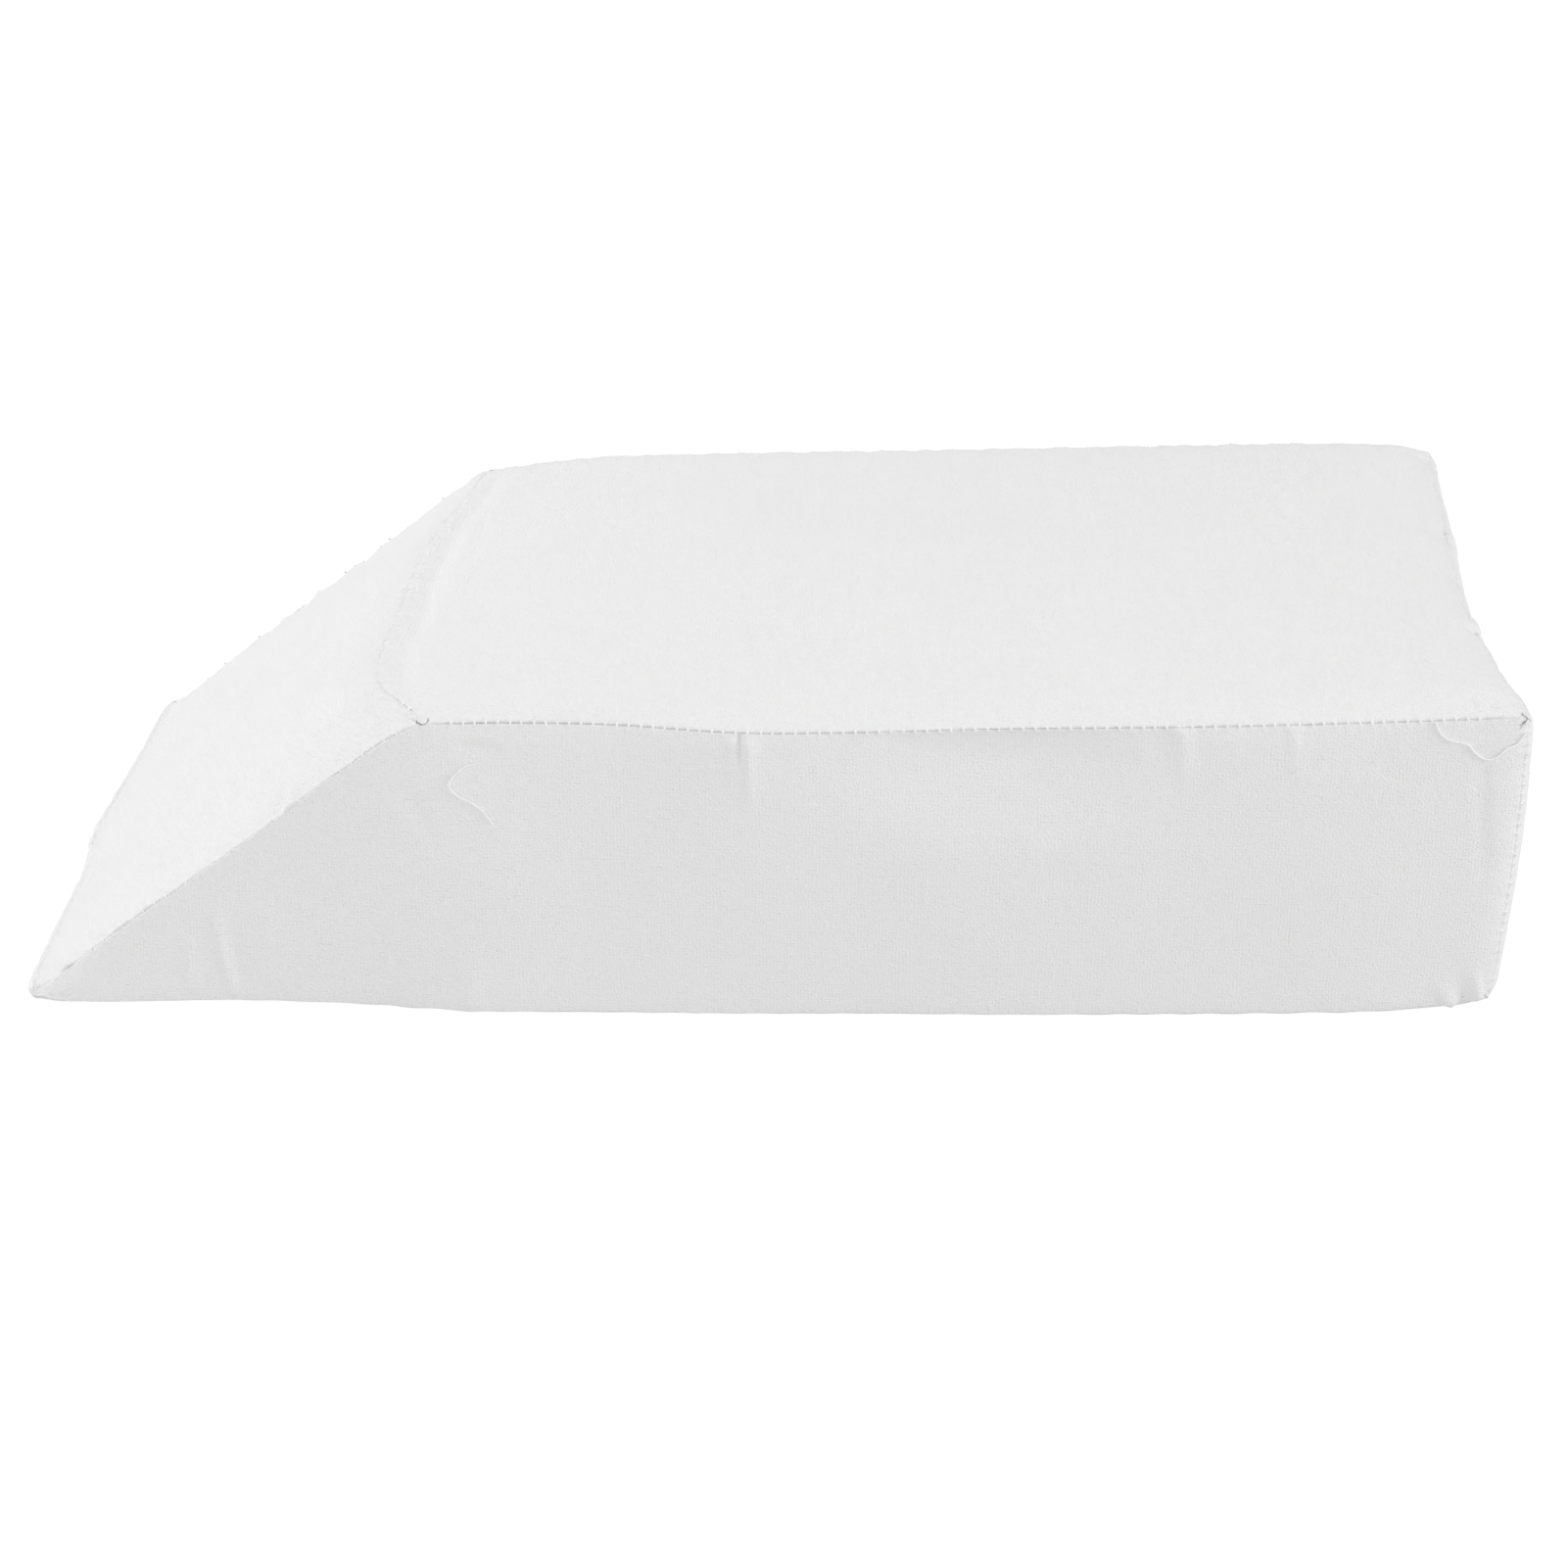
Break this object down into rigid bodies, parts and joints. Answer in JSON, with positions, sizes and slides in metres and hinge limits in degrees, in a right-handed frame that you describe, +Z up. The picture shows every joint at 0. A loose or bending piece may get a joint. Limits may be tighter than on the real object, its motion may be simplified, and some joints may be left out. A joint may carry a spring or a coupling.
{
  "type": "wedge pillow",
  "caption": "Long wedge-shaped leg pillow: a short incline rises to a long, nearly level top, with upright sides, a square end and a flat underside.",
  "frame": {"origin": "middle of the pillow's outline, on the surface that it rests on", "axes": "+X from the thin edge of the incline to the square end, +Y from the near long side to the far one, +Z up from the resting face"},
  "size_m": [0.5086, 0.2308, 0.1236],
  "materials": {
    "white_cloth": "matt plain-weave cotton blend, white, undyed, sewn with white thread"
  },
  "bodies": {
    "root": {"pillow": "white_cloth"}
  },
  "joints": []
}
